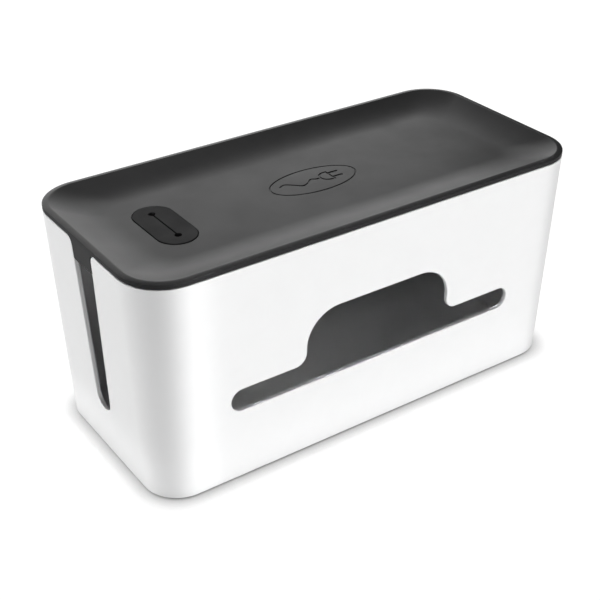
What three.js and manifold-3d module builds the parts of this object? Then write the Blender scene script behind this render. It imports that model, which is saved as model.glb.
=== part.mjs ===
// Cable management box: a drafted white shell, four rubber feet and a dark lift-off lid that carries a slit
// cable grommet.
// Millimetres, +Z up, +X along the length, the front cut-out faces -Y, origin on the ground under the centre.
import * as THREE from 'three';
import { mergeVertices } from 'three/addons/utils/BufferGeometryUtils.js';
import Module from 'manifold-3d';

const wasm = await Module();
wasm.setup();

// ---------------------------------------------------------------- driving dimensions

const CLEARANCE = 0.3; // between neighbouring pieces
const CORNER_SEGMENTS = 12; // facets in each rounded corner of an outline
const ARC_SEGMENTS = 12; // facets in each arc of a cut-out

const foot = { radius: 7, height: 2, proud: 1, x: 128, y: 46, chamfer: 0.4, facets: 40 };

// The shell widens from its base outline to its rim outline, for moulding draft.
const base = { halfLength: 154.05, halfWidth: 68.3, radius: 23.8, z: foot.proud };
const rim = { halfLength: 160, halfWidth: 73.7, radius: 29, z: 148.1 };
const shell = { wall: 3, bottomEdge: 1.2, insideEdge: 2 };

// Front cut-out: a low wide slot with round ends, and a hump with rounded shoulders in its middle.
const cutOut = {
  bottom: 51.1,
  armTop: 66.4,
  armReach: 106.8,
  humpHalf: 54,
  humpTop: 100.8,
  humpRadius: 23,
  filletRadius: 8,
};

// Cable slot in each end wall: round at the bottom, tapering wider up to an open, flared mouth at the rim.
const endSlot = { bottom: 33.3, bottomHalf: 8.8, topHalf: 12.3, mouthRadius: 5 };

const lid = {
  bottom: rim.z + 0.4,
  top: 151.65, // crest of the crowned lip
  lipWidth: 3.8,
  lipFall: 0.55, // from the crest outwards to the edge
  lipRound: 0.8,
  lipTurn: 76 * Math.PI / 180, // angle the rounded edge turns through before it meets the crown
  dishFloor: 145.2,
  dishRun: 30,
  dishFloorRadius: 14,
  dishSteps: 8,
  thickness: 2.6,
  skirtBottom: 132,
  skirtTopInset: 3.6,
  skirtBottomInset: 4.3,
  skirtThickness: 1.8,
  tabBottom: 134.6,
  tabClearance: 0.35,
};

const grommet = {
  x: -105.9,
  halfWidth: 12.6,
  halfLength: 26.5,
  ledge: 2.7, // how far the flange overlaps the lid all round
  beadOverlap: 1.2,
  beadHeight: 0.8,
  seatDepth: 1.3,
  proud: 0.4,
  holeRadius: 2.15,
  holeSpacing: 31.8,
  slitWidth: 0.8,
};

// Oval panel in the middle of the lid, engraved with a plug on a curling cord.
const emblem = { halfLength: 31, halfWidth: 15.4, grooveWidth: 1.2, strokeWidth: 1.2, depth: 0.5, facets: 72 };

// ---------------------------------------------------------------- outlines and solids

/** Rounded rectangle at height z, counter-clockwise seen from above. */
function roundedRing(halfLength, halfWidth, radius, z) {
  const corners = [[1, 1], [-1, 1], [-1, -1], [1, -1]];
  return corners.flatMap(([sideX, sideY], quarter) => {
    const points = [];
    for (let i = 0; i <= CORNER_SEGMENTS; i += 1) {
      const angle = (quarter + i / CORNER_SEGMENTS) * Math.PI / 2;
      const x = sideX * (halfLength - radius) + radius * Math.cos(angle);
      const y = sideY * (halfWidth - radius) + radius * Math.sin(angle);
      points.push(new THREE.Vector3(x, y, z));
    }
    return points;
  });
}

/** The shell's drafted outer surface at height z, moved inwards by inset. */
function wallRing(z, inset) {
  const rise = (z - base.z) / (rim.z - base.z);
  const at = (key) => THREE.MathUtils.lerp(base[key], rim[key], rise) - inset;
  return roundedRing(at('halfLength'), at('halfWidth'), at('radius'), z);
}

/** The lid's outline at height z, moved inwards by inset. */
function lidRing(inset, z, radius = rim.radius - inset) {
  return roundedRing(rim.halfLength - inset, rim.halfWidth - inset, radius, z);
}

/** Closed solid through a sequence of rings of equal length, with a fan closing each end. */
function loft(rings) {
  const count = rings[0].length;
  const ends = [rings[0], rings[rings.length - 1]].map((ring) => new THREE.Vector3(0, 0, ring[0].z));
  const points = [...rings.flat(), ...ends];
  const bottomCentre = points.length - 2;
  const topCentre = points.length - 1;
  const lastRing = (rings.length - 1) * count;
  const triangles = [];
  for (let i = 0; i < count; i += 1) {
    const next = (i + 1) % count;
    triangles.push(bottomCentre, next, i);
    for (let start = 0; start < lastRing; start += count) {
      const above = start + count;
      triangles.push(start + i, start + next, above + next);
      triangles.push(start + i, above + next, above + i);
    }
    triangles.push(topCentre, lastRing + i, lastRing + next);
  }
  const geometry = new THREE.BufferGeometry().setFromPoints(points);
  geometry.setIndex(triangles);
  return solid(geometry);
}

/** Manifold solid of a closed geometry. */
function solid(source) {
  const bare = source.clone();
  bare.deleteAttribute('normal');
  bare.deleteAttribute('uv');
  const merged = mergeVertices(bare, 1e-4);
  return new wasm.Manifold(new wasm.Mesh({
    numProp: 3,
    vertProperties: new Float32Array(merged.attributes.position.array),
    triVerts: new Uint32Array(merged.index.array),
  }));
}

/** Shape extruded straight up from z to z + height. */
function prism(shape, z, height, curveSegments = ARC_SEGMENTS) {
  const geometry = new THREE.ExtrudeGeometry(shape, { depth: height, bevelEnabled: false, curveSegments });
  return solid(geometry.translate(0, 0, z));
}

/** Shape drawn in the XZ plane, extruded along Y from y to y + depth. */
function prismAlongY(shape, y, depth) {
  const geometry = new THREE.ExtrudeGeometry(shape, { depth, bevelEnabled: false, curveSegments: ARC_SEGMENTS });
  return solid(geometry.rotateX(Math.PI / 2).translate(0, y + depth, 0));
}

/** Shape drawn in the YZ plane, extruded along X from x to x + depth. */
function prismAlongX(shape, x, depth) {
  const geometry = new THREE.ExtrudeGeometry(shape, { depth, bevelEnabled: false, curveSegments: ARC_SEGMENTS });
  return solid(geometry.rotateX(Math.PI / 2).rotateZ(Math.PI / 2).translate(x, 0, 0));
}

/** Named mesh of a manifold solid. */
function part(name, body, material) {
  const { vertProperties, triVerts } = body.getMesh();
  const geometry = new THREE.BufferGeometry();
  geometry.setAttribute('position', new THREE.BufferAttribute(vertProperties, 3));
  geometry.setIndex(new THREE.BufferAttribute(triVerts, 1));
  const mesh = new THREE.Mesh(geometry, material);
  mesh.name = name;
  return mesh;
}

// ---------------------------------------------------------------- shapes of the openings

/** Front cut-out in the XZ plane. */
function cutOutShape() {
  const { bottom, armTop } = cutOut;
  const armRadius = (armTop - bottom) / 2;
  const armCentre = cutOut.armReach - armRadius;
  const middle = bottom + armRadius;
  const side = cutOut.humpHalf;
  const top = cutOut.humpTop;
  const shoulder = cutOut.humpRadius;
  const fillet = cutOut.filletRadius;
  const quarter = Math.PI / 2;
  const shape = new THREE.Shape();
  shape.moveTo(-armCentre, bottom);
  shape.absarc(armCentre, middle, armRadius, -quarter, quarter, false);
  shape.absarc(side + fillet, armTop + fillet, fillet, -quarter, -Math.PI, true);
  shape.absarc(side - shoulder, top - shoulder, shoulder, 0, quarter, false);
  shape.absarc(shoulder - side, top - shoulder, shoulder, quarter, Math.PI, false);
  shape.absarc(-side - fillet, armTop + fillet, fillet, 0, -quarter, true);
  shape.absarc(-armCentre, middle, armRadius, quarter, 3 * quarter, false);
  return shape;
}

/** End slot in the YZ plane up to the given top, drawn in by the given clearance. */
function endSlotShape(clearance, top) {
  const roundCentre = endSlot.bottom + endSlot.bottomHalf;
  const roundRadius = endSlot.bottomHalf - clearance;
  const mouthCentre = endSlot.topHalf + endSlot.mouthRadius;
  const mouthRadius = endSlot.mouthRadius + clearance;
  const mouthZ = rim.z - endSlot.mouthRadius;
  const quarter = Math.PI / 2;
  const shape = new THREE.Shape();
  shape.moveTo(-mouthCentre, top);
  shape.absarc(-mouthCentre, mouthZ, mouthRadius, quarter, 0, true);
  shape.absarc(0, roundCentre, roundRadius, Math.PI, 2 * Math.PI, false);
  shape.absarc(mouthCentre, mouthZ, mouthRadius, Math.PI, quarter, true);
  shape.lineTo(mouthCentre, top);
  return shape;
}

/** Straight slot with round ends, its long axis along Y. */
function stadiumShape(halfWidth, halfLength, x = 0) {
  const straight = halfLength - halfWidth;
  const shape = new THREE.Shape();
  shape.absarc(x, straight, halfWidth, 0, Math.PI, false);
  shape.absarc(x, -straight, halfWidth, Math.PI, 2 * Math.PI, false);
  return shape;
}

/** Band of constant width along a flat curve. */
function strokeShape(curve, width, steps) {
  const left = [];
  const right = [];
  for (let i = 0; i <= steps; i += 1) {
    const point = curve.getPoint(i / steps);
    const tangent = curve.getTangent(i / steps);
    const side = new THREE.Vector2(-tangent.y, tangent.x).multiplyScalar(width / 2);
    left.push(point.clone().add(side));
    right.push(point.clone().sub(side));
  }
  return new THREE.Shape([...right, ...left.reverse()]);
}

// ---------------------------------------------------------------- the box

/** Cable slots through both end walls; the inner end of each cut lies inside the cavity. */
function endSlotCuts() {
  const reach = 20;
  const shape = endSlotShape(0, lid.top);
  const right = prismAlongX(shape, rim.halfLength - reach, 2 * reach);
  const left = prismAlongX(shape, -rim.halfLength - reach, 2 * reach);
  return right.add(left);
}

function frontCut() {
  const reach = 20;
  return prismAlongY(cutOutShape(), -rim.halfWidth - reach, 2 * reach);
}

/** Calls make(x, y, name) for each foot position. */
function atFeet(make) {
  const rows = [['front', -1], ['rear', 1]];
  const columns = [['left', -1], ['right', 1]];
  return rows.flatMap(([row, sideY]) => columns.map(([column, sideX]) => (
    make(sideX * foot.x, sideY * foot.y, `foot_${row}_${column}`)
  )));
}

function outerShell() {
  const outside = loft([
    wallRing(base.z, shell.bottomEdge),
    wallRing(base.z + shell.bottomEdge, 0),
    wallRing(rim.z, 0),
  ]);
  const floorTop = base.z + shell.wall;
  const cavity = loft([
    wallRing(floorTop, shell.wall + shell.insideEdge),
    wallRing(floorTop + shell.insideEdge, shell.wall),
    wallRing(lid.top, shell.wall),
  ]);
  const seat = new THREE.CylinderGeometry(
    foot.radius + CLEARANCE,
    foot.radius + CLEARANCE,
    2 * (foot.height + CLEARANCE),
    foot.facets,
  ).rotateX(Math.PI / 2);
  const seats = atFeet((x, y) => solid(seat.clone().translate(x, y, 0)));
  const cuts = [cavity, frontCut(), endSlotCuts(), ...seats];
  return cuts.reduce((body, cut) => body.subtract(cut), outside);
}

/** Round pad with a chamfered lower edge, standing on z = 0. */
function footPad() {
  const profile = [
    [0, 0],
    [foot.radius - foot.chamfer, 0],
    [foot.radius, foot.chamfer],
    [foot.radius, foot.height],
    [0, foot.height],
  ].map(([radius, height]) => new THREE.Vector2(radius, height));
  return solid(new THREE.LatheGeometry(profile, foot.facets).rotateX(Math.PI / 2));
}

// ---------------------------------------------------------------- the lid

/** Height of the crowned lip at an inset of at most the lip's width. */
function lipHeight(inset) {
  return lid.top - lid.lipFall * (1 - inset / lid.lipWidth) ** 2;
}

/** Rings up the rounded outer edge of the lip and over its crown, as far as the crest. */
function lipRings() {
  const arcInset = (angle) => lid.lipRound * (1 - Math.cos(angle));
  const arcEnd = lipHeight(arcInset(lid.lipTurn));
  const arc = [0, 1 / 3, 2 / 3, 1].map((share) => {
    const angle = share * lid.lipTurn;
    return lidRing(arcInset(angle), arcEnd - lid.lipRound * (Math.sin(lid.lipTurn) - Math.sin(angle)));
  });
  const crownInset = lid.lipWidth / 2;
  return [...arc, lidRing(crownInset, lipHeight(crownInset))];
}

/** Rings over the dish from the lip's inner edge down to the flat floor, lowered by drop. */
function dishRings(drop, firstStep = 0) {
  const lipRadius = rim.radius - lid.lipWidth;
  const rings = [];
  for (let step = firstStep; step <= lid.dishSteps; step += 1) {
    const t = step / lid.dishSteps;
    const inset = lid.lipWidth + t * lid.dishRun;
    const z = lid.dishFloor + (lid.top - lid.dishFloor) * (1 - t) ** 2 - drop;
    rings.push(lidRing(inset, z, THREE.MathUtils.lerp(lipRadius, lid.dishFloorRadius, t)));
  }
  return rings;
}

/** Dish, lip, side and locating skirt as one swept profile, from the underside's middle round to the top's. */
function lidBody() {
  const underside = dishRings(lid.thickness, 1).reverse();
  const skirtInside = lid.skirtTopInset + lid.skirtThickness;
  const skirtTop = underside[underside.length - 1][0].z;
  return loft([
    ...underside,
    lidRing(skirtInside, skirtTop),
    lidRing(lid.skirtBottomInset + lid.skirtThickness, lid.skirtBottom),
    lidRing(lid.skirtBottomInset, lid.skirtBottom),
    lidRing(lid.skirtTopInset, lid.bottom),
    lidRing(0, lid.bottom),
    ...lipRings(),
    ...dishRings(0),
  ]);
}

/** Tabs that close the mouths of the end slots, flush with the shell's drafted outside. */
function lidTabs() {
  const depth = lid.skirtTopInset + lid.skirtThickness / 2;
  const shape = endSlotShape(lid.tabClearance, lid.bottom + lid.lipRound);
  const bars = prismAlongX(shape, -rim.halfLength, depth).add(prismAlongX(shape, rim.halfLength - depth, depth));
  const zone = loft([wallRing(lid.tabBottom, 0), wallRing(rim.z, 0), lidRing(0, lid.bottom + lid.lipRound)]);
  return bars.intersect(zone);
}

/** The engraved oval and the plug-and-cord sign inside it. */
function emblemCuts() {
  const z = lid.dishFloor - emblem.depth;
  const cut = (shape, facets) => prism(shape, z, 2 * emblem.depth, facets);
  const oval = (offset) => {
    const shape = new THREE.Shape();
    shape.absellipse(0, 0, emblem.halfLength + offset, emblem.halfWidth + offset, 0, 2 * Math.PI, false);
    return cut(shape, emblem.facets);
  };
  const groove = oval(emblem.grooveWidth / 2).subtract(oval(-emblem.grooveWidth / 2));

  const v = (x, y) => new THREE.Vector2(x, y);
  const width = emblem.strokeWidth;
  const cord = new THREE.SplineCurve([
    v(-23, 3), v(-19, 4.2), v(-14.5, 1), v(-10, -3.2), v(-5, -1.6), v(-1, 1.6), v(2.5, 0), v(5, 0),
  ]);
  const body = new THREE.Shape();
  body.moveTo(13.5, 6);
  body.lineTo(11, 6);
  body.absarc(11, 0, 6, Math.PI / 2, 3 * Math.PI / 2, false);
  body.lineTo(13.5, -6);
  const prong = (y) => strokeShape(new THREE.LineCurve(v(13.5, y), v(20.5, y)), 1.6 * width, 1);
  const sign = [strokeShape(cord, width, 36), body, prong(3), prong(-3)].map((shape) => cut(shape, ARC_SEGMENTS));
  return [groove, ...sign];
}

function lidSolid() {
  const seatZ = lid.dishFloor - grommet.seatDepth;
  const seat = prism(
    stadiumShape(grommet.halfWidth + CLEARANCE, grommet.halfLength + CLEARANCE, grommet.x),
    seatZ,
    lid.thickness,
  );
  const holeInset = grommet.ledge - CLEARANCE;
  const hole = prism(
    stadiumShape(grommet.halfWidth - holeInset, grommet.halfLength - holeInset, grommet.x),
    seatZ - 2 * lid.thickness,
    4 * lid.thickness,
  );
  const body = lidBody().add(lidTabs());
  return [seat, hole, ...emblemCuts()].reduce((rest, cut) => rest.subtract(cut), body);
}

/** Soft pad with a flange above the lid, a neck through it and a bead below, slit between two cable holes. */
function lidGrommet() {
  const layer = (inset, from, to) => prism(
    stadiumShape(grommet.halfWidth - inset, grommet.halfLength - inset, grommet.x),
    from,
    to - from,
  );
  const flangeTop = lid.dishFloor + grommet.proud;
  const flangeBottom = lid.dishFloor - grommet.seatDepth + CLEARANCE;
  const beadTop = lid.dishFloor - lid.thickness - CLEARANCE;
  const beadBottom = beadTop - grommet.beadHeight;
  const flange = layer(0, flangeBottom, flangeTop);
  const neck = layer(grommet.ledge, beadBottom, flangeTop);
  const bead = layer(grommet.ledge - grommet.beadOverlap, beadBottom, beadTop);

  const cutHeight = 2 * (flangeTop - beadBottom);
  const cutZ = beadBottom - cutHeight / 4;
  const holes = [-1, 1].map((side) => {
    const circle = new THREE.Shape();
    circle.absarc(grommet.x, side * grommet.holeSpacing / 2, grommet.holeRadius, 0, 2 * Math.PI, false);
    return prism(circle, cutZ, cutHeight);
  });
  const slit = prism(stadiumShape(grommet.slitWidth / 2, grommet.holeSpacing / 2, grommet.x), cutZ, cutHeight);
  return [...holes, slit].reduce((rest, cut) => rest.subtract(cut), flange.add(neck).add(bead));
}

// ---------------------------------------------------------------- materials and assembly

const plastic = (color, roughness) => new THREE.MeshStandardMaterial({ color, roughness, metalness: 0 });
const whiteGloss = plastic('#f4f4f3', 0.28);
const lidSatin = plastic('#424243', 0.42);
const grommetRubber = plastic('#2c2c2d', 0.7);
const footRubber = plastic('#1c1c1c', 0.85);

const cableBox = new THREE.Group();
cableBox.add(part('outer_shell', outerShell(), whiteGloss));
cableBox.add(...atFeet((x, y, name) => {
  const pad = part(name, footPad(), footRubber);
  pad.position.set(x, y, 0);
  return pad;
}));

const lidGroup = new THREE.Group();
lidGroup.add(part('lid', lidSolid(), lidSatin));
lidGroup.add(part('lid_grommet', lidGrommet(), grommetRubber));
cableBox.add(lidGroup);

export default cableBox;
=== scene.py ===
"""Cable management box: finished pieces, materials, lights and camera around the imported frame."""
import math

import bmesh
import bpy
from mathutils import Matrix, Vector
from mathutils.geometry import tessellate_polygon


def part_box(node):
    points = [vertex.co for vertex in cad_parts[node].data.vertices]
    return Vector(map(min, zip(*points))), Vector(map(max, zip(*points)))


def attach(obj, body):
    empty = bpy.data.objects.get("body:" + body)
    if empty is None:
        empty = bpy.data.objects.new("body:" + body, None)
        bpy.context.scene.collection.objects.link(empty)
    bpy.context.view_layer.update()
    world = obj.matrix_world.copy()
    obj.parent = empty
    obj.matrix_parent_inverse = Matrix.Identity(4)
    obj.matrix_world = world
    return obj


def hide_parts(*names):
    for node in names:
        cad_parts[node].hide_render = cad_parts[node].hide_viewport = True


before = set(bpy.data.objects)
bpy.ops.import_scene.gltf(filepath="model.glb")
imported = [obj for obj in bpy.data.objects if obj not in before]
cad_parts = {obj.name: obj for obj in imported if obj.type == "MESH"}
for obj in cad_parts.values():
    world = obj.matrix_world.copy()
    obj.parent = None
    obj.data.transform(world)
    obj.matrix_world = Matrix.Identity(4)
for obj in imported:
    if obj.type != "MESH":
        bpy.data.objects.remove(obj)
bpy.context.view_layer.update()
scene = bpy.context.scene

# ---------------------------------------------------------------- dimensions, in millimetres

MM = 0.001
QUARTER = math.pi / 2
BACK, LEFT, FRONT, RIGHT = range(4)


def node_box(name):
    """Lowest and highest corner of a CAD node, in millimetres."""
    low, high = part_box(name)
    return low / MM, high / MM


shell_low, shell_high = node_box("outer_shell")
lid_low, lid_high = node_box("lid")
pad_low, pad_high = node_box("lid_grommet")

# The feet and the grommet sit in recesses with a little clearance and a rounded edge.
GAP = 0.3
RECESS_EDGE = 0.3

# Outlines as half length, half width and corner radius; the walls are drafted between the two.
BASE_Z = shell_low.z
BASE_OUTLINE = (154.05, 68.3, 23.8)
RIM_Z = shell_high.z
RIM_OUTLINE = (shell_high.x, shell_high.y, 29.0)

SHELL_WALL = 3.0
SHELL_EDGE = 0.55
BOTTOM_ROUND = 1.8
INSIDE_ROUND = 2.0

# Front cut-out: a low wide slot with round ends and a hump with rounded shoulders.
CUT_BOTTOM = 51.1
CUT_ARM_TOP = 66.4
CUT_ARM_REACH = 106.8
HUMP_HALF = 54.0
HUMP_TOP = 100.8
HUMP_RADIUS = 23.0
HUMP_FILLET = 8.0

# Slot in each end wall, open at the rim.
SLOT_BOTTOM = 33.3
SLOT_BOTTOM_HALF = 8.8
SLOT_TOP_HALF = 12.3
MOUTH_RADIUS = 5.0
MOUTH_Z = RIM_Z - MOUTH_RADIUS
MOUTH_ALONG = SLOT_TOP_HALF + MOUTH_RADIUS

# Lid: a crowned lip, a dished slope and a flat floor on top; a skirt and two end tabs underneath. The gap
# over the rim stands in for its edge resting there.
LID_BOTTOM = RIM_Z + 0.4
LID_TOP = lid_high.z
LID_EDGE = 0.35
LIP_WIDTH = 3.8
LIP_FALL = 0.55
LIP_ROUND = 0.5
LIP_TURN = math.radians(76)
CREST_BLEND = 0.4
DISH_FLOOR = 145.2
DISH_RUN = 30.0
DISH_FLOOR_RADIUS = 14.0
LID_THICKNESS = 2.6
SLOPE_START = LIP_WIDTH + 1.5
DISH_END = LIP_WIDTH + DISH_RUN + CREST_BLEND
UNDERSIDE_START = LIP_WIDTH + 0.125 * DISH_RUN
SKIRT_INSET = 3.6
SKIRT_THICKNESS = 1.8
SKIRT_EDGE = 0.4
SKIRT_FILLET = 1.2
TAB_BOTTOM = 134.6
TAB_ROUND = 1.2

# Grommet: a flange let into the dish's floor, a neck through the lid and a bead under it.
PAD_X = (pad_low.x + pad_high.x) / 2
PAD_HALF_WIDTH = (pad_high.x - pad_low.x) / 2
PAD_HALF_LENGTH = pad_high.y
PAD_LEDGE = 2.7
PAD_BEAD_INSET = 1.5
PAD_BEAD_HEIGHT = 0.8
PAD_BEAD_EDGE = 0.4
PAD_EDGE = 0.45
SEAT_DEPTH = 1.3
HOLE_RADIUS = 2.15
HOLE_Y = 15.9
SLIT_HALF = 0.4
HOLE_TOP_EDGE = 0.25
HOLE_BOTTOM_EDGE = 0.2

# Each foot is slightly hollow underneath: inset from its side and height above the ground, inside to outside.
FOOT_HOLLOW = ((2.2, 0.25), (1.9, 0.06), (1.6, 0.0))
FOOT_EDGE = 0.5
FOOT_TOP_BEVEL = 0.2

# Engraved oval and sign. Sections are growth and height, from the dish's floor into the cut.
OVAL_LENGTH = 31.0
OVAL_WIDTH = 15.4
GROOVE_HALF = 0.52
GROOVE_EDGE = ((0.14, 0.0), (0.04, -0.03))
GROOVE_SHOULDER = 0.08
ENGRAVING_DEPTH = 0.5
SIGN_SECTION = ((0.12, 0.0), (0.04, -0.03), (0.0, -0.1), (-0.04, -0.4), (-0.12, -ENGRAVING_DEPTH))
STROKE_HALF = 0.6
CORD_KNOTS = ((-23, 3), (-19, 4.2), (-14.5, 1), (-10, -3.2), (-5, -1.6), (-1, 1.6), (2.5, 0), (5, 0))
PLUG_RADIUS = 6.0
PLUG_X = 11.0
PLUG_FLAT_X = 13.5
PRONG_END_X = 20.5
PRONG_Y = 3.0
PRONG_HALF = 1.6 * STROKE_HALF

# How finely curves are divided.
CORNER_STEPS = 32
EDGE_STEPS = 5
WIDE_EDGE_STEPS = 8
ARC_STEPS = 20
SMALL_ARC_STEPS = 8
TAB_MOUTH_STEPS = 6
RECESS_STEPS = 48
FOOT_STEPS = 64
OVAL_STEPS = 120
LIP_STEPS = 8
CROWN_STEPS = 24
SLOPE_STEPS = 28
UNDERSIDE_STEPS = 20
CREST_SAMPLES = 10
CORD_STEPS = 6
PLUG_STEPS = 12
PRONG_STEPS = 10


# ---------------------------------------------------------------- outlines

def turn(start, end, steps):
    """Evenly spaced angles from start to end, both included."""
    return [start + (end - start) * i / steps for i in range(steps + 1)]


def arc(x, y, radius, start, end, steps=ARC_STEPS):
    """Points along an arc, both ends included."""
    return [(x + radius * math.cos(a), y + radius * math.sin(a)) for a in turn(start, end, steps)]


def circle(x, y, radius, steps):
    """Points round a circle, the first one not repeated."""
    return arc(x, y, radius, 0, 4 * QUARTER, steps)[:-1]


def mirrored(half):
    """A chain of points followed by its mirror image across the second axis."""
    return half + [(-x, y) for x, y in reversed(half)]


def outline(z):
    """Half length, half width and corner radius of the box's outer surface, upright above the rim."""
    rise = min((z - BASE_Z) / (RIM_Z - BASE_Z), 1.0)
    return [low + (high - low) * rise for low, high in zip(BASE_OUTLINE, RIM_OUTLINE)]


def corner_points(index, z, inset, radius, outline_z):
    """Points round one corner, inset from the outline that the box has at outline_z."""
    length, width, full_radius = outline(outline_z)
    radius = full_radius - inset if radius is None else radius
    side_x = (1, -1, -1, 1)[index]
    side_y = (1, 1, -1, -1)[index]
    x = side_x * (length - inset - radius)
    y = side_y * (width - inset - radius)
    start = index * QUARTER
    return [Vector((*point, z)) for point in arc(x, y, radius, start, start + QUARTER, CORNER_STEPS)]


def on_wall(wall, along, z, inset):
    """Point at a depth behind the outer surface of one of the four walls."""
    length, width, _ = outline(z)
    if wall in (FRONT, BACK):
        return Vector((along, (width - inset) * (1 if wall == BACK else -1), z))
    return Vector(((length - inset) * (1 if wall == RIGHT else -1), along, z))


def ring(z, inset=0.0, radius=None, notch=(), outline_z=None):
    """Loop round the box, as four pairs of corner points and the points across the wall that follows."""
    across = {LEFT: list(reversed(notch)), RIGHT: list(notch)}
    level = z if outline_z is None else outline_z
    return [
        (corner_points(i, z, inset, radius, level), [on_wall(i, u, h, inset) for u, h in across.get(i, [])])
        for i in range(4)
    ]


def cut_out(growth):
    """Front cut-out in the plane of the wall, grown outwards."""
    bottom = CUT_BOTTOM - growth
    arm_top = CUT_ARM_TOP + growth
    arm = (arm_top - bottom) / 2
    reach = CUT_ARM_REACH + growth - arm
    side = HUMP_HALF + growth
    shoulder = HUMP_RADIUS + growth
    fillet = HUMP_FILLET - growth
    half = [
        *arc(reach, bottom + arm, arm, -QUARTER, QUARTER),
        *arc(side + fillet, arm_top + fillet, fillet, -QUARTER, -2 * QUARTER),
        *arc(side - shoulder, HUMP_TOP + growth - shoulder, shoulder, 0, QUARTER),
    ]
    return mirrored(half)


def end_slot(growth):
    """Edge of an end slot, grown outwards, from rim to rim."""
    half = [
        *arc(-MOUTH_ALONG, MOUTH_Z, MOUTH_RADIUS - growth, QUARTER, 0),
        *arc(0, SLOT_BOTTOM + SLOT_BOTTOM_HALF, SLOT_BOTTOM_HALF + growth, 2 * QUARTER, 3 * QUARTER)[:-1],
    ]
    lowest = (0.0, SLOT_BOTTOM - growth)
    return half + [lowest] + [(-x, y) for x, y in reversed(half)]


def tab_edge(growth):
    """Lower edge of the lid across an end wall, dipping round the tab; growth moves it into the lid."""
    clearance = LID_BOTTOM - RIM_Z
    mouth = MOUTH_RADIUS + clearance + growth
    rim_angle = math.asin(MOUTH_RADIUS / mouth)
    taper = (SLOT_TOP_HALF - SLOT_BOTTOM_HALF) / (MOUTH_Z - SLOT_BOTTOM - SLOT_BOTTOM_HALF)
    half_width = SLOT_TOP_HALF - taper * (MOUTH_Z - TAB_BOTTOM) - clearance
    tab_x, tab_z = TAB_ROUND - half_width, TAB_BOTTOM + TAB_ROUND
    half = [
        *arc(-MOUTH_ALONG, MOUTH_Z, mouth, QUARTER, rim_angle, TAB_MOUTH_STEPS)[:-1],
        *arc(-MOUTH_ALONG, MOUTH_Z, mouth, rim_angle, 0),
        *arc(tab_x, tab_z, TAB_ROUND - growth, 2 * QUARTER, 3 * QUARTER, SMALL_ARC_STEPS),
    ]
    return mirrored(half)


def stadium(growth):
    """Grommet outline seen from above."""
    radius = PAD_HALF_WIDTH + growth
    straight = PAD_HALF_LENGTH - PAD_HALF_WIDTH
    back_end = arc(PAD_X, straight, radius, 0, 2 * QUARTER)
    front_end = arc(PAD_X, -straight, radius, 2 * QUARTER, 4 * QUARTER)
    return back_end + front_end


def holes_and_slit(growth):
    """The two cable holes and the slit that joins them, as one outline."""
    radius = HOLE_RADIUS + growth
    opening = math.asin((SLIT_HALF + growth) / radius)
    upper = arc(PAD_X, HOLE_Y, radius, opening - QUARTER, 3 * QUARTER - opening, 2 * ARC_STEPS)
    lower = arc(PAD_X, -HOLE_Y, radius, QUARTER + opening, 5 * QUARTER - opening, 2 * ARC_STEPS)
    return upper + lower


def oval(growth):
    """Middle line of the oval groove, grown outwards."""
    angles = turn(0, 4 * QUARTER, OVAL_STEPS)[:-1]
    return [((OVAL_LENGTH + growth) * math.cos(a), (OVAL_WIDTH + growth) * math.sin(a)) for a in angles]


def offset(points, distance):
    """Closed counter-clockwise chain moved outwards, with mitred corners; sharp ones are kept short."""
    moved = []
    for i, point in enumerate(points):
        before = (Vector(point) - Vector(points[i - 1])).normalized()
        after = (Vector(points[(i + 1) % len(points)]) - Vector(point)).normalized()
        normal = Vector((before.y, -before.x)) + Vector((after.y, -after.x))
        normal.normalize()
        stretch = max(normal.dot(Vector((after.y, -after.x))), 0.5)
        moved.append(tuple(Vector(point) + normal * distance / stretch))
    return moved


def cord_line():
    """Points along a smooth curve through the cord's knots."""
    last = len(CORD_KNOTS) - 1
    line = []
    for i in range(last):
        a, b, c, d = (Vector(CORD_KNOTS[min(max(i + k, 0), last)]) for k in (-1, 0, 1, 2))
        for t in turn(0, 1, CORD_STEPS)[:-1]:
            line.append(b + 0.5 * t * (c - a + t * (2 * a - 5 * b + 4 * c - d + t * (3 * (b - c) + d - a))))
    return line


def plug_sign():
    """A plug on a curling cord, as one closed outline."""
    centre = cord_line()
    lower, upper = [], []
    for i, point in enumerate(centre):
        along = (centre[min(i + 1, len(centre) - 1)] - centre[max(i - 1, 0)]).normalized()
        side = Vector((-along.y, along.x)) * STROKE_HALF
        lower.append(tuple(point - side))
        upper.append(tuple(point + side))
    cord_end = arc(*centre[0], STROKE_HALF, QUARTER, 3 * QUARTER, SMALL_ARC_STEPS)[1:-1]
    join = math.asin(STROKE_HALF / PLUG_RADIUS)
    below = [
        *arc(PLUG_X, 0, PLUG_RADIUS, 2 * QUARTER + join, 3 * QUARTER, PLUG_STEPS),
        (PLUG_FLAT_X, -PLUG_RADIUS),
        (PLUG_FLAT_X, -PRONG_Y - PRONG_HALF),
        *arc(PRONG_END_X - PRONG_HALF, -PRONG_Y, PRONG_HALF, -QUARTER, QUARTER, PRONG_STEPS),
        (PLUG_FLAT_X, PRONG_HALF - PRONG_Y),
    ]
    return lower + below + [(x, -y) for x, y in reversed(below)] + list(reversed(upper)) + cord_end


def plug_island():
    """The part of the lid left standing inside the outline of the plug's body."""
    radius = PLUG_RADIUS - 2 * STROKE_HALF
    flat_x = PLUG_FLAT_X - 2 * STROKE_HALF
    rounded = arc(PLUG_X, 0, radius, QUARTER, 3 * QUARTER, 2 * PLUG_STEPS)
    return rounded + [(flat_x, -radius), (flat_x, radius)]


# ---------------------------------------------------------------- surfaces

SHARP_ANGLE = math.radians(38)


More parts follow.
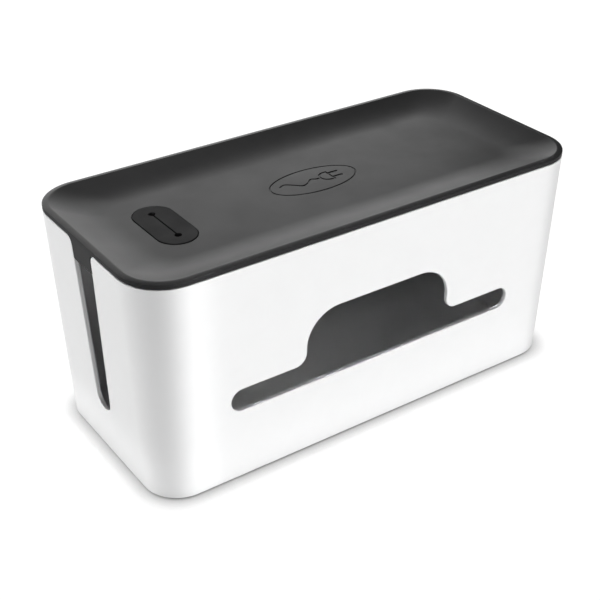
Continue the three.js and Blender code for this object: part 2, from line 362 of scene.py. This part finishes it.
class Skin:
    """Closed surface under construction, in millimetres."""

    def __init__(self):
        self.mesh = bmesh.new()

    def loop(self, points):
        return [self.mesh.verts.new(point) for point in points]

    def level(self, points, z):
        return self.loop((x, y, z) for x, y in points)

    def ring(self, *args, **options):
        return [(self.loop(corner), self.loop(wall)) for corner, wall in ring(*args, **options)]

    def sweep(self, loops):
        """Quads between loops of equal length, each joined to the next."""
        chains = [flat(loop) for loop in loops]
        for low, high in zip(chains, chains[1:]):
            for i, start in enumerate(low):
                after = (i + 1) % len(low)
                self.mesh.faces.new((start, low[after], high[after], high[i]))

    def patch(self, outer, *holes):
        """Flat area inside one loop, around any holes."""
        if len(outer) == 4 and not holes:
            self.mesh.faces.new(outer)
            return
        loops = [outer, *holes]
        verts = [vert for loop in loops for vert in loop]
        for triangle in tessellate_polygon([[vert.co for vert in loop] for loop in loops]):
            self.mesh.faces.new([verts[i] for i in triangle])

    def band(self, low, high, holes=None):
        """Surface between two rings: curved corners and flat walls, with holes by wall."""
        for i in range(4):
            low_corner, low_wall = low[i]
            high_corner, high_wall = high[i]
            for k in range(CORNER_STEPS):
                self.mesh.faces.new((low_corner[k], low_corner[k + 1], high_corner[k + 1], high_corner[k]))
            following = (i + 1) % 4
            edge = [low_corner[-1], *low_wall, low[following][0][0]]
            edge += [high[following][0][0], *reversed(high_wall), high_corner[-1]]
            self.patch(edge, *(holes or {}).get(i, []))

    def finish(self, name, body, node, material):
        """Turn the surface into a piece that stands for a CAD node."""
        bmesh.ops.recalc_face_normals(self.mesh, faces=self.mesh.faces)
        self.mesh.transform(Matrix.Scale(MM, 4))
        data = bpy.data.meshes.new(name)
        self.mesh.to_mesh(data)
        self.mesh.free()
        data.shade_smooth()
        data.set_sharp_from_angle(angle=SHARP_ANGLE)
        data.materials.append(material)
        piece = bpy.data.objects.new(name, data)
        scene.collection.objects.link(piece)
        weighted = piece.modifiers.new("weighted_normals", "WEIGHTED_NORMAL")
        weighted.keep_sharp = True
        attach(piece, body)
        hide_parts(node)
        return piece


def flat(loop):
    """Vertices of a ring, or of a plain loop, in one chain."""
    if isinstance(loop[0], tuple):
        return [vert for corner, wall in loop for vert in (*corner, *wall)]
    return loop


def rounded_edge(radius, steps=EDGE_STEPS):
    """Growth and depth round one edge, from the face that grows to the one at right angles to it."""
    return [(radius * (1 - math.sin(a)), radius * (1 - math.cos(a))) for a in turn(0, QUARTER, steps)]


def wall_section(edge, wall):
    """Growth and depth across the edge of a wall, from its outer face to its inner one."""
    outer = rounded_edge(edge)
    return outer + [(growth, wall - depth) for growth, depth in reversed(outer)]


# ---------------------------------------------------------------- the shell and its feet

def foot_nodes():
    return [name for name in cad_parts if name.startswith("foot_")]


def foot_recess(skin, name):
    """Round recess in the base for one foot; returns its loop on the underside."""
    low, high = node_box(name)
    centre = (low + high) / 2
    radius = (high.x - low.x) / 2 + GAP
    steps = [(growth, BASE_Z + depth) for growth, depth in rounded_edge(RECESS_EDGE)]
    steps.append((0, high.z + GAP))
    loops = [skin.level(circle(centre.x, centre.y, radius + growth, RECESS_STEPS), z) for growth, z in steps]
    skin.sweep(loops)
    skin.patch(loops[-1])
    return loops[0]


def build_shell(material):
    """Drafted open box with the front cut-out, the end slots and recesses for the feet."""
    skin = Skin()
    section = wall_section(SHELL_EDGE, SHELL_WALL)
    rims = [skin.ring(RIM_Z - growth, depth, notch=end_slot(growth)) for growth, depth in section]
    cuts = [
        skin.loop(on_wall(FRONT, along, z, depth) for along, z in cut_out(growth))
        for growth, depth in section
    ]
    outside = [
        skin.ring(BASE_Z + depth, growth)
        for growth, depth in rounded_edge(BOTTOM_ROUND, WIDE_EDGE_STEPS)
    ]
    inside = [
        skin.ring(BASE_Z + SHELL_WALL + depth, SHELL_WALL + growth)
        for growth, depth in rounded_edge(INSIDE_ROUND, WIDE_EDGE_STEPS)
    ]
    for loops in (rims, cuts, outside, inside):
        skin.sweep(loops)
    skin.band(outside[-1], rims[0], {FRONT: [cuts[0]]})
    skin.band(inside[-1], rims[-1], {FRONT: [cuts[-1]]})
    skin.patch(flat(outside[0]), *(foot_recess(skin, name) for name in foot_nodes()))
    skin.patch(flat(inside[0]))
    return skin.finish("shell", "box", "outer_shell", material)


def build_foot(name, material):
    """Round rubber foot, slightly hollow underneath."""
    low, high = node_box(name)
    centre = (low + high) / 2
    radius = (high.x - low.x) / 2
    profile = [(radius - inset, low.z + height) for inset, height in FOOT_HOLLOW]
    profile += [(radius - growth, low.z + depth) for growth, depth in rounded_edge(FOOT_EDGE)]
    profile += [(radius, high.z - FOOT_TOP_BEVEL), (radius - FOOT_TOP_BEVEL, high.z)]
    skin = Skin()
    loops = [skin.level(circle(centre.x, centre.y, size, FOOT_STEPS), z) for size, z in profile]
    skin.sweep(loops)
    skin.patch(loops[0])
    skin.patch(loops[-1])
    return skin.finish(name.replace("foot", "rubber_foot"), "box", name, material)


# ---------------------------------------------------------------- the lid

def lip_or_dish_height(inset):
    """Height of the crowned lip, the dished slope and the flat floor."""
    if inset < LIP_WIDTH:
        return LID_TOP - LIP_FALL * (1 - inset / LIP_WIDTH) ** 2
    t = min((inset - LIP_WIDTH) / DISH_RUN, 1.0)
    return DISH_FLOOR + (LID_TOP - DISH_FLOOR) * (1 - t) ** 2


def lid_height(inset):
    """The same height with the crest eased over."""
    spread = turn(-CREST_BLEND, CREST_BLEND, CREST_SAMPLES)
    return sum(lip_or_dish_height(inset + shift) for shift in spread) / len(spread)


def dish_radius(inset):
    """Corner radius of the lid's contour at an inset; it tightens over the dish."""
    if inset < LIP_WIDTH:
        return RIM_OUTLINE[2] - inset
    t = min((inset - LIP_WIDTH) / DISH_RUN, 1.0)
    return (RIM_OUTLINE[2] - LIP_WIDTH) * (1 - t) + DISH_FLOOR_RADIUS * t


def dish_ring(skin, inset, z):
    """Ring over the lid, on the contour that belongs to an inset."""
    return skin.ring(z, inset, dish_radius(inset), outline_z=RIM_Z)


def lid_top(skin):
    """Rings from the lip's side over the crown and down to the edge of the flat floor."""
    angles = turn(0, LIP_TURN, LIP_STEPS)
    insets = [LIP_ROUND * (1 - math.cos(a)) for a in angles]
    edge_height = lid_height(insets[-1])
    rings = [
        dish_ring(skin, inset, edge_height - LIP_ROUND * (math.sin(LIP_TURN) - math.sin(a)))
        for inset, a in zip(insets, angles)
    ]
    crown = turn(insets[-1], SLOPE_START, CROWN_STEPS)[1:]
    slope = turn(SLOPE_START, DISH_END, SLOPE_STEPS)[1:]
    return rings + [dish_ring(skin, inset, lid_height(inset)) for inset in crown + slope]


def engraving(skin):
    """Oval groove and the sign inside it; returns the groove's outer loop."""
    hollow = ENGRAVING_DEPTH - GROOVE_SHOULDER
    across = [(GROOVE_HALF + growth, z) for growth, z in GROOVE_EDGE]
    across += [
        (GROOVE_HALF * math.cos(a), -GROOVE_SHOULDER - hollow * math.sin(a))
        for a in turn(0, QUARTER, EDGE_STEPS)
    ]
    across += [(-x, z) for x, z in reversed(across[:-1])]
    groove = [skin.level(oval(x), DISH_FLOOR + z) for x, z in across]
    skin.sweep(groove)
    recess = [skin.level(offset(plug_sign(), growth), DISH_FLOOR + z) for growth, z in SIGN_SECTION]
    skin.sweep(recess)
    island = [skin.level(offset(plug_island(), -growth), DISH_FLOOR + z) for growth, z in SIGN_SECTION]
    skin.sweep(island)
    skin.patch(island[0])
    skin.patch(recess[-1], island[-1])
    skin.patch(groove[-1], recess[0])
    return groove[0]


def grommet_seat(skin):
    """Stepped hole for the grommet; returns its loops on the dish's floor and on the underside."""
    ledge = DISH_FLOOR - SEAT_DEPTH
    hole = GAP - PAD_LEDGE
    steps = [(GAP + growth, DISH_FLOOR - depth) for growth, depth in rounded_edge(RECESS_EDGE)]
    steps += [(GAP, ledge), (hole, ledge), (hole, DISH_FLOOR - LID_THICKNESS)]
    loops = [skin.level(stadium(growth), z) for growth, z in steps]
    skin.sweep(loops)
    return loops[0], loops[-1]


def build_lid(material):
    """Dished lid with its crowned lip, end tabs, skirt, engraving and seat for the grommet."""
    skin = Skin()
    top = lid_top(skin)
    skin.sweep(top)
    seat_top, seat_bottom = grommet_seat(skin)
    skin.patch(flat(top[-1]), seat_top, engraving(skin))

    # Lower edge: rounded, dipping round the tabs, then level inwards to the skirt.
    section = rounded_edge(LID_EDGE) + [(0.0, SKIRT_INSET)]
    lower = [skin.ring(LID_BOTTOM + growth, depth, notch=tab_edge(growth)) for growth, depth in section]
    skin.sweep(lower)
    above_rim = []
    for corner, wall in lower[0]:
        if wall:
            skin.patch(wall[TAB_MOUTH_STEPS:-TAB_MOUTH_STEPS])
            wall = wall[:TAB_MOUTH_STEPS + 1] + wall[-TAB_MOUTH_STEPS - 1:]
        above_rim.append((corner, wall))
    skin.band(above_rim, top[0])

    # Skirt, and the underside that follows the dish.
    skirt = [
        skin.ring(lid_low.z + growth, SKIRT_INSET + depth)
        for growth, depth in wall_section(SKIRT_EDGE, SKIRT_THICKNESS)
    ]
    skin.band(skirt[0], lower[-1])
    inside = SKIRT_INSET + SKIRT_THICKNESS
    ceiling = lid_height(UNDERSIDE_START) - LID_THICKNESS
    fillet = [
        skin.ring(ceiling - growth, inside + depth)
        for growth, depth in rounded_edge(SKIRT_FILLET)
    ]
    under = [
        dish_ring(skin, inset, lid_height(inset) - LID_THICKNESS)
        for inset in turn(UNDERSIDE_START, DISH_END, UNDERSIDE_STEPS)
    ]
    skin.sweep([*skirt, *fillet, *under])
    skin.patch(flat(under[-1]), seat_bottom)
    return skin.finish("dished_lid", "cover", "lid", material)


def build_grommet(material):
    """Soft pad with a flange on the lid, a neck through it and a bead under it."""
    flange_bottom = DISH_FLOOR - SEAT_DEPTH + GAP
    bead_top = DISH_FLOOR - LID_THICKNESS - GAP
    bead_bottom = bead_top - PAD_BEAD_HEIGHT
    skin = Skin()
    profile = [(-growth, pad_high.z - depth) for growth, depth in rounded_edge(PAD_EDGE)]
    profile += [(0, flange_bottom), (-PAD_LEDGE, flange_bottom)]
    profile += [(-PAD_LEDGE, bead_top), (-PAD_BEAD_INSET, bead_top)]
    profile += [
        (-PAD_BEAD_INSET - growth, bead_bottom + depth)
        for growth, depth in reversed(rounded_edge(PAD_BEAD_EDGE))
    ]
    outside = [skin.level(stadium(growth), z) for growth, z in profile]
    steps = [(growth, pad_high.z - depth) for growth, depth in rounded_edge(HOLE_TOP_EDGE)]
    steps += [(growth, bead_bottom + depth) for growth, depth in reversed(rounded_edge(HOLE_BOTTOM_EDGE))]
    through = [skin.level(holes_and_slit(growth), z) for growth, z in steps]
    skin.sweep(outside)
    skin.sweep(through)
    skin.patch(outside[0], through[0])
    skin.patch(outside[-1], through[-1])
    return skin.finish("grommet", "cover", "lid_grommet", material)


# ---------------------------------------------------------------- materials

MOTTLE_SCALE = 90.0
SMUDGE_SCALE = 35.0
WAVE_SCALE = 60.0
NOISE_LOW, NOISE_HIGH = 0.3, 0.7
COAT_ROUGHNESS = 0.12


def noise(nodes, links, coordinates, scale, detail):
    texture = nodes.new("ShaderNodeTexNoise")
    texture.inputs["Scale"].default_value = scale
    texture.inputs["Detail"].default_value = detail
    links.new(coordinates, texture.inputs["Vector"])
    return texture.outputs["Fac"]


def ranged(nodes, links, value, low, high):
    """Value of a noise, or of how far a surface faces up, spread over a range."""
    spread = nodes.new("ShaderNodeMapRange")
    spread.inputs["From Min"].default_value = NOISE_LOW
    spread.inputs["From Max"].default_value = NOISE_HIGH
    spread.inputs["To Min"].default_value = low
    spread.inputs["To Max"].default_value = high
    links.new(value, spread.inputs["Value"])
    return spread.outputs["Result"]


def bump(nodes, links, height, distance):
    node = nodes.new("ShaderNodeBump")
    node.inputs["Strength"].default_value = 1.0
    node.inputs["Distance"].default_value = distance
    links.new(height, node.inputs["Height"])
    return node


def moulded(
    name, dark, light, roughness, grain, specular=0.5, side_specular=None, coat=0.0, waviness=0.00004,
):
    """Moulded plastic or rubber: mottled tone and gloss, a fine grain and a faint waviness.

    dark and light are the colour's limits, roughness its limits, grain the size and depth of the texture in
    metres, and waviness a depth in metres. side_specular, where given, is the gloss of upright surfaces.
    """
    material = bpy.data.materials.new(name)
    material.use_nodes = True
    nodes, links = material.node_tree.nodes, material.node_tree.links
    shader = nodes["Principled BSDF"]
    shader.inputs["Coat Weight"].default_value = coat
    shader.inputs["Coat Roughness"].default_value = COAT_ROUGHNESS
    place = nodes.new("ShaderNodeTexCoord").outputs["Object"]

    mottle = noise(nodes, links, place, MOTTLE_SCALE, 4.0)
    colour = nodes.new("ShaderNodeMix")
    colour.data_type = "RGBA"
    colour.inputs["A"].default_value = (*dark, 1)
    colour.inputs["B"].default_value = (*light, 1)
    links.new(ranged(nodes, links, mottle, 0.0, 1.0), colour.inputs["Factor"])
    links.new(colour.outputs["Result"], shader.inputs["Base Color"])

    smudges = noise(nodes, links, place, SMUDGE_SCALE, 3.0)
    links.new(ranged(nodes, links, smudges, *roughness), shader.inputs["Roughness"])

    shader.inputs["Specular IOR Level"].default_value = specular
    if side_specular is not None:
        facing = nodes.new("ShaderNodeSeparateXYZ")
        links.new(nodes.new("ShaderNodeNewGeometry").outputs["Normal"], facing.inputs[0])
        gloss = ranged(nodes, links, facing.outputs["Z"], side_specular, specular)
        links.new(gloss, shader.inputs["Specular IOR Level"])

    size, depth = grain
    fine = bump(nodes, links, noise(nodes, links, place, 1 / size, 2.0), depth)
    wavy = bump(nodes, links, noise(nodes, links, place, WAVE_SCALE, 1.0), waviness)
    links.new(wavy.outputs["Normal"], fine.inputs["Normal"])
    links.new(fine.outputs["Normal"], shader.inputs["Normal"])
    return material


shell_white = moulded(
    "shell_white", (0.864, 0.866, 0.868), (0.874, 0.876, 0.878), (0.28, 0.34), (0.0012, 0.000002),
    coat=0.2, waviness=0.000004,
)
lid_dark = moulded(
    "lid_dark", (0.029, 0.029, 0.0295), (0.033, 0.033, 0.0335), (0.34, 0.4), (0.0005, 0.00001),
    specular=0.2, side_specular=0.02,
)
grommet_rubber = moulded(
    "grommet_rubber", (0.032, 0.032, 0.0325), (0.039, 0.039, 0.0395), (0.62, 0.74), (0.0006, 0.00003),
    specular=0.1, side_specular=0.04,
)
foot_rubber = moulded(
    "foot_rubber", (0.012, 0.012, 0.012), (0.018, 0.018, 0.018), (0.78, 0.9), (0.0008, 0.00005),
    specular=0.3,
)

# ---------------------------------------------------------------- the pieces

build_shell(shell_white)
for foot in foot_nodes():
    build_foot(foot, foot_rubber)
build_lid(lid_dark)
build_grommet(grommet_rubber)

# ---------------------------------------------------------------- camera

AZIMUTH = -34.66
ELEVATION = 30.43
ROLL = math.radians(-0.14)
SENSOR = 36.0
FOCAL_LENGTH = 72.46
SHIFT = (-0.01255, -0.02738)
ASIDE, ABOVE, AWAY = -3.968, 59.336, 830.256  # from the ground point, along the camera's own axes


def direction(azimuth, elevation):
    """Unit vector from two angles in degrees; azimuth 0 is in front."""
    a, e = math.radians(azimuth), math.radians(elevation)
    return Vector((math.sin(a) * math.cos(e), -math.cos(a) * math.cos(e), math.sin(e)))


back = direction(AZIMUTH, ELEVATION)
level_right = Vector((0, 0, 1)).cross(back).normalized()
level_up = back.cross(level_right)
camera_right = level_right * math.cos(ROLL) + level_up * math.sin(ROLL)
camera_up = level_up * math.cos(ROLL) - level_right * math.sin(ROLL)

lens = bpy.data.cameras.new("camera")
lens.sensor_width = SENSOR
lens.lens = FOCAL_LENGTH
lens.shift_x, lens.shift_y = SHIFT
camera = bpy.data.objects.new("camera", lens)
scene.collection.objects.link(camera)
pose = Matrix((camera_right, camera_up, back)).transposed().to_4x4()
pose.translation = (ASIDE * camera_right + ABOVE * camera_up + AWAY * back) * MM + Vector((0, 0, BASE_Z * MM))
camera.matrix_world = pose
scene.camera = camera

# ---------------------------------------------------------------- floor, surroundings and lights, in metres

FLOOR_HALF = 3.0
FLOOR_TONE = 0.2
FLOOR_GLOW = 0.96
CONTACT_REACH = 0.012
BACKDROP_RADIUS = 4.1

# Beams shine on the front and the left end, all from one distance. The level ones light the wall evenly, and
# the steep ones also reach the lower edges of its openings.
BEAM_DISTANCE = 0.9
BEAM_SPREAD = 2
LEVEL, STEEP = 4, 60
FRONT_Y, FRONT_SPAN = -0.0715, 0.279
LEFT_X, LEFT_Y, LEFT_SPAN = -0.157, -0.001, 0.118


def stage_floor():
    """Pale, softly glowing sweep that the box stands on, shaded close round its base."""
    data = bpy.data.meshes.new("floor")
    corners = [(x * FLOOR_HALF, y * FLOOR_HALF, 0) for x, y in ((-1, -1), (1, -1), (1, 1), (-1, 1))]
    data.from_pydata(corners, [], [(0, 1, 2, 3)])
    material = bpy.data.materials.new("floor_white")
    material.use_nodes = True
    nodes, links = material.node_tree.nodes, material.node_tree.links
    shader = nodes["Principled BSDF"]
    shader.inputs["Base Color"].default_value = (FLOOR_TONE, FLOOR_TONE, FLOOR_TONE, 1)
    shader.inputs["Roughness"].default_value = 1.0
    shader.inputs["Specular IOR Level"].default_value = 0.0
    shader.inputs["Emission Color"].default_value = (1, 1, 1, 1)
    contact = nodes.new("ShaderNodeAmbientOcclusion")
    contact.inputs["Distance"].default_value = CONTACT_REACH
    glow = nodes.new("ShaderNodeMath")
    glow.operation = "MULTIPLY"
    glow.inputs[1].default_value = FLOOR_GLOW
    links.new(contact.outputs["AO"], glow.inputs[0])
    links.new(glow.outputs["Value"], shader.inputs["Emission Strength"])
    data.materials.append(material)
    floor = bpy.data.objects.new("floor", data)
    scene.collection.objects.link(floor)


def backdrop():
    """White dome round the floor that closes off the view and lights nothing."""
    data = bpy.data.meshes.new("backdrop")
    sphere = bmesh.new()
    bmesh.ops.create_uvsphere(sphere, u_segments=48, v_segments=24, radius=BACKDROP_RADIUS)
    sphere.to_mesh(data)
    sphere.free()
    material = bpy.data.materials.new("backdrop_white")
    material.use_nodes = True
    shader = material.node_tree.nodes["Principled BSDF"]
    shader.inputs["Base Color"].default_value = (0, 0, 0, 1)
    shader.inputs["Emission Color"].default_value = (1, 1, 1, 1)
    shader.inputs["Emission Strength"].default_value = 1.0
    data.materials.append(material)
    dome = bpy.data.objects.new("backdrop", data)
    dome.visible_diffuse = False
    dome.visible_glossy = False
    dome.visible_shadow = False
    scene.collection.objects.link(dome)


def surroundings(strength):
    """Dim, even room light."""
    world = bpy.data.worlds.new("studio")
    world.use_nodes = True
    world.node_tree.nodes["Background"].inputs["Color"].default_value = (1, 1, 1, 1)
    world.node_tree.nodes["Background"].inputs["Strength"].default_value = strength
    scene.world = world


def softbox(name, towards, distance, target, size, power, spread=180.0):
    """Rectangular light that faces a target; spread is in degrees, and a narrow one makes a beam."""
    light = bpy.data.lights.new(name, "AREA")
    light.shape = "RECTANGLE"
    light.size, light.size_y = size
    light.energy = power
    light.spread = math.radians(spread)
    lamp = bpy.data.objects.new(name, light)
    turned = towards.to_track_quat("Z", "Y").to_matrix().to_4x4()
    lamp.matrix_world = Matrix.Translation(Vector(target) + towards * distance) @ turned
    scene.collection.objects.link(lamp)


def beam(name, azimuth, elevation, target, size, power):
    """Straight-sided light that reaches one stretch of wall and little else."""
    softbox(name, direction(azimuth, elevation), BEAM_DISTANCE, target, size, power, BEAM_SPREAD)


stage_floor()
backdrop()
surroundings(0.1)
softbox("ceiling_light", direction(0, 90), 1.2, (0.0, 0.0, 0.1), (1.2, 1.2), 5.0)
softbox("back_light", direction(170, 18), 1.3, (-0.14, 0.0, 0.15), (2.02, 0.85), 9.9)
beam("front_light", 0, LEVEL, (0.0, FRONT_Y, 0.07), (FRONT_SPAN, 0.19), 0.052)
beam("front_low_light", 0, LEVEL, (0.0, FRONT_Y, 0.005), (FRONT_SPAN, 0.05), 0.002)
beam("front_high_light", 0, STEEP, (0.0, FRONT_Y, 0.08), (FRONT_SPAN, 0.1), 0.026)
beam("hump_light", 0, LEVEL, (0.0, FRONT_Y, 0.076), (0.084, 0.026), 0.0055)
beam("corner_light", -15, LEVEL, (-0.129, FRONT_Y, 0.07), (0.02, 0.19), 0.0019)
beam("left_light", -90, STEEP, (LEFT_X, LEFT_Y, 0.075), (LEFT_SPAN, 0.12), 0.0165)
beam("left_low_light", -90, LEVEL, (LEFT_X, LEFT_Y, 0.005), (LEFT_SPAN, 0.05), 0.0026)
scene.view_settings.view_transform = "Standard"
